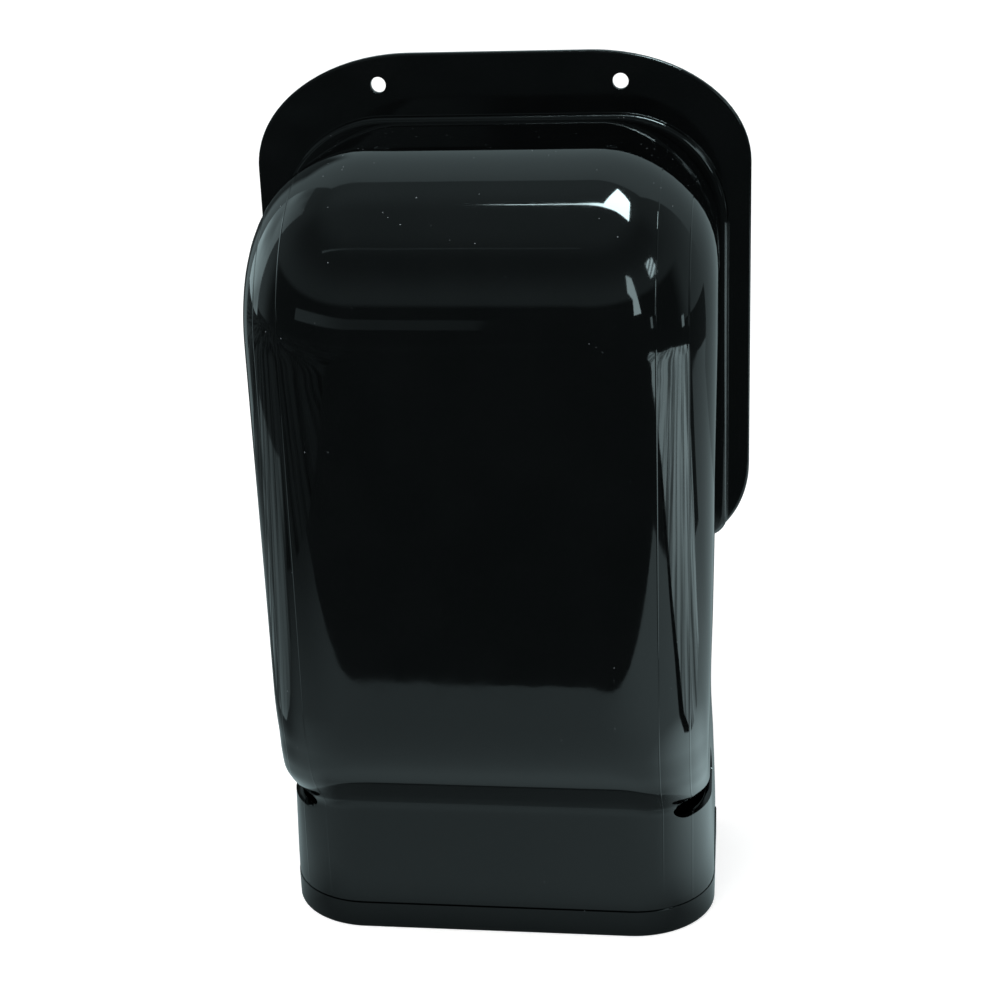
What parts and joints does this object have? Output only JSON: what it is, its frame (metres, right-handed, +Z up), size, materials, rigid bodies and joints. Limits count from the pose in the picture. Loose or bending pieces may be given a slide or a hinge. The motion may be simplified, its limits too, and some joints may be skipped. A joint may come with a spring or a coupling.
{
  "type": "hooded vent cover",
  "caption": "Wall vent cover: flanged base with duct sleeve and non-return flap, push-on hood that turns the outlet downward into a rectangular collar.",
  "frame": {"origin": "where the duct's axis meets the wall plane", "axes": "+X across the cover, +Y into the wall, +Z up"},
  "size_m": [0.169, 0.136, 0.2875],
  "materials": {
    "hood_plastic": "high gloss black moulding",
    "base_plastic": "gloss black moulding",
    "ring_plastic": "gloss black moulding",
    "sleeve_plastic": "satin dark grey moulding",
    "flap_plastic": "satin dark grey moulding",
    "screen_plastic": "matt black moulded grille",
    "foam": "closed-cell foam strip",
    "rubber": "soft black rubber",
    "steel": "bright stainless"
  },
  "bodies": {
    "base": {"base_plate": "base_plastic", "wall_gasket": "foam", "duct_sleeve": "sleeve_plastic", "sleeve_seal": "rubber", "sleeve_screws": "steel", "damper_pin": "steel", "pin_rings": "steel"},
    "hood": {"hood": "hood_plastic"},
    "outlet": {"outlet_ring": "ring_plastic", "pest_screen": "screen_plastic"},
    "flap": {"damper_flap": "flap_plastic", "damper_seal": "rubber"},
    "clip_left": {"spring_clip_left": "steel"},
    "clip_right": {"spring_clip_right": "steel"}
  },
  "joints": [
    {"name": "hood_lift_off", "type": "slide", "parent": "base", "child": "hood", "axis": [0, -1, 0], "range_m": [0, 0.11]},
    {"name": "outlet_pull_out", "type": "slide", "parent": "hood", "child": "outlet", "axis": [0, 0, -1], "range_m": [0, 0.03]},
    {"name": "flap_swing", "type": "hinge", "parent": "base", "child": "flap", "pos_m": [0, -0.0155, 0.055], "axis": [-1, 0, 0], "range_deg": [0, 50]},
    {"name": "clip_press_left", "type": "hinge", "parent": "base", "child": "clip_left", "pos_m": [-0.0669, -0.016, -0.1412], "axis": [0, 0, 1], "range_deg": [0, 4], "stiffness_Nm_per_rad": 0.1},
    {"name": "clip_press_right", "type": "hinge", "parent": "base", "child": "clip_right", "pos_m": [0.0669, -0.016, -0.1412], "axis": [0, 0, -1], "range_deg": [0, 4], "stiffness_Nm_per_rad": 0.1}
  ]
}
